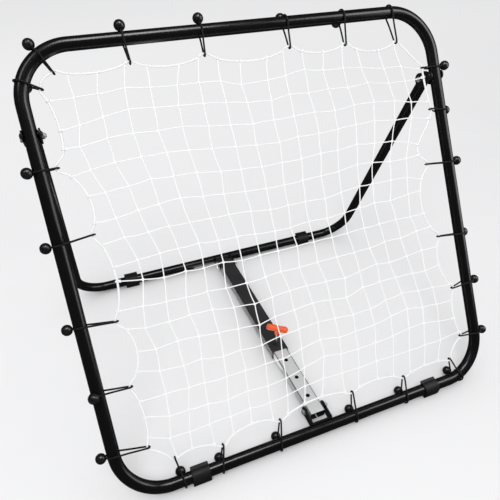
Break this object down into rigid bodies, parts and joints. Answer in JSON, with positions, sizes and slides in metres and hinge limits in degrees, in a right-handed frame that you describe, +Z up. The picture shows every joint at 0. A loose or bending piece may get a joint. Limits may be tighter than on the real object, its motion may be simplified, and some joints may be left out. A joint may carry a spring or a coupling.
{
  "type": "ball rebounder",
  "caption": "Leaning tube ring with a knotted net hung on ball bungees, a folding rear U-frame and a telescoping floor strut locked by a spring plunger.",
  "frame": {"origin": "centre of the bounding box on the ground", "axes": "+X along the two floor tubes, +Y from the net side to the rear frame, +Z up"},
  "size_m": [1.0476, 0.7762, 0.8592],
  "materials": {
    "black_tube": "satin black powder coat",
    "zinc_hardware": "zinc plated",
    "strut_coat": "matte black coat",
    "galvanised": "galvanised",
    "black_plastic": "moulded, fine grain",
    "orange_grip": "soft moulded plastic",
    "ball_bungee": "glossy ball on woven elastic cord",
    "white_cord": "knotted polyester cord"
  },
  "bodies": {
    "front_frame": {"front_frame_upper_tube": "black_tube", "front_frame_lower_tube": "black_tube", "hinge_plate_left_inner": "black_tube", "hinge_plate_left_outer": "black_tube", "hinge_plate_right_inner": "black_tube", "hinge_plate_right_outer": "black_tube", "hinge_rivet_left": "black_tube", "hinge_rivet_right": "black_tube", "hinge_bolt_left": "zinc_hardware", "hinge_bolt_right": "zinc_hardware", "hinge_nut_left": "zinc_hardware", "hinge_nut_right": "zinc_hardware", "foot_front_left": "black_plastic", "foot_front_right": "black_plastic", "strut_clevis_front": "black_tube", "strut_bolt_front": "zinc_hardware", "strut_nut_front": "zinc_hardware", "strut_spacer_left": "black_plastic", "strut_spacer_right": "black_plastic", "net_border_rope": "white_cord", "net_panel": "white_cord", "bungee_top_1": "ball_bungee", "bungee_top_2": "ball_bungee", "bungee_top_3": "ball_bungee", "bungee_top_4": "ball_bungee", "bungee_top_5": "ball_bungee", "bungee_top_6": "ball_bungee", "bungee_right_1": "ball_bungee", "bungee_right_2": "ball_bungee", "bungee_right_3": "ball_bungee", "bungee_right_4": "ball_bungee", "bungee_right_5": "ball_bungee", "bungee_right_6": "ball_bungee", "bungee_bottom_1": "ball_bungee", "bungee_bottom_2": "ball_bungee", "bungee_bottom_3": "ball_bungee", "bungee_bottom_4": "ball_bungee", "bungee_bottom_5": "ball_bungee", "bungee_bottom_6": "ball_bungee", "bungee_left_1": "ball_bungee", "bungee_left_2": "ball_bungee", "bungee_left_3": "ball_bungee", "bungee_left_4": "ball_bungee", "bungee_left_5": "ball_bungee", "bungee_left_6": "ball_bungee"},
    "rear_frame": {"rear_frame_tube": "black_tube", "rear_arm_plug_left": "black_plastic", "rear_arm_plug_right": "black_plastic", "foot_rear_left": "black_plastic", "foot_rear_right": "black_plastic", "strut_clevis_rear": "black_tube", "strut_bolt_rear": "zinc_hardware", "strut_nut_rear": "zinc_hardware"},
    "strut_outer": {"strut_outer_channel": "strut_coat", "plunger_housing": "strut_coat", "plunger_spring": "zinc_hardware"},
    "strut_inner": {"strut_inner_channel": "galvanised"},
    "plunger": {"plunger_pin": "zinc_hardware", "plunger_t_grip": "orange_grip"}
  },
  "joints": [
    {"name": "fold", "type": "hinge", "parent": "front_frame", "child": "rear_frame", "pos_m": [0, 0.08372, 0.66894], "axis": [-1, 0, 0], "range_deg": [0, 16.6]},
    {"name": "strut_swing", "type": "hinge", "parent": "rear_frame", "child": "strut_outer", "pos_m": [0, 0.31897, 0.027], "axis": [1, 0, 0], "range_deg": [0, 11.3]},
    {"name": "strut_slide", "type": "slide", "parent": "strut_outer", "child": "strut_inner", "axis": [0, 1, 0], "range_m": [0, 0.1925]},
    {"name": "plunger_pull", "type": "slide", "parent": "strut_outer", "child": "plunger", "axis": [0, 0, 1], "range_m": [0, 0.005], "stiffness_N_per_m": 1500, "springref_m": -0.003, "deforming": ["plunger_spring"]}
  ],
  "couplings": [
    {"joint": "strut_swing", "follows": "fold", "ratio": 0.67277},
    {"joint": "strut_slide", "follows": "fold", "m_per_rad": 0.65856}
  ]
}
